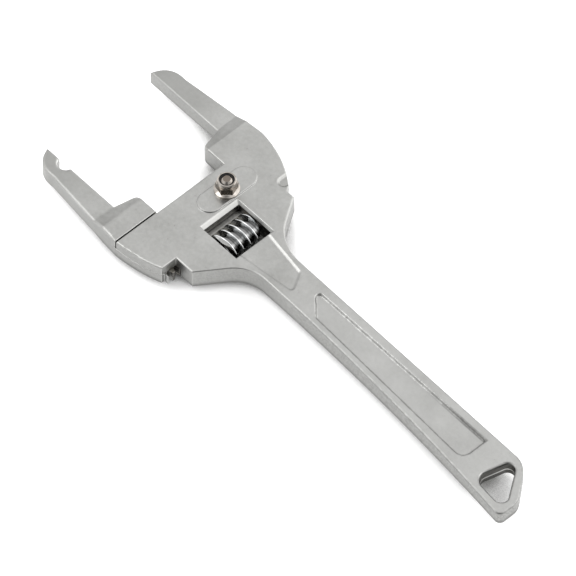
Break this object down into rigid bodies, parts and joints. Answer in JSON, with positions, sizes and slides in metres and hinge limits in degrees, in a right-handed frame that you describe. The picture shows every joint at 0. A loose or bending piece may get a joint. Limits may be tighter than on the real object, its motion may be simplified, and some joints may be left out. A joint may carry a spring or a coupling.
{
  "type": "adjustable wrench",
  "caption": "Adjustable wide-jaw wrench: a worm slides the hooked movable jaw along the head; stepped blocks and long fingers grip large nuts, and the tapered handle ends in a hanging hole.",
  "frame": {"origin": "under the middle of the whole wrench, lying on its back, at the level of the bolt's head", "axes": "+X along the handle towards the jaw tips, +Y towards the movable jaw, +Z out of the front face"},
  "size_m": [0.2532, 0.0794, 0.0217],
  "materials": {
    "plated_casting": "satin plated casting",
    "polished_chrome": "polished",
    "fastener_steel": "turned stainless steel",
    "pin_steel": "plain ground steel",
    "dark_nylon": "matt"
  },
  "bodies": {
    "body": {"wrench_body": "plated_casting", "worm_pin": "pin_steel", "worm_spring": "pin_steel", "retaining_bolt": "fastener_steel", "back_washer": "fastener_steel", "lock_nut": "fastener_steel", "nut_insert": "dark_nylon"},
    "jaw": {"movable_jaw": "plated_casting"},
    "worm": {"adjusting_worm": "polished_chrome"}
  },
  "joints": [
    {"name": "worm_turn", "type": "hinge", "parent": "body", "child": "worm", "pos_m": [0.04345, -0.00001, 0.00925], "axis": [0, -1, 0], "range_deg": [0, 1970.53]},
    {"name": "jaw_slide", "type": "slide", "parent": "body", "child": "jaw", "axis": [0, 1, 0], "range_m": [0, 0.0208]}
  ],
  "couplings": [
    {"joint": "worm_turn", "follows": "jaw_slide", "rad_per_m": 1653.5}
  ]
}
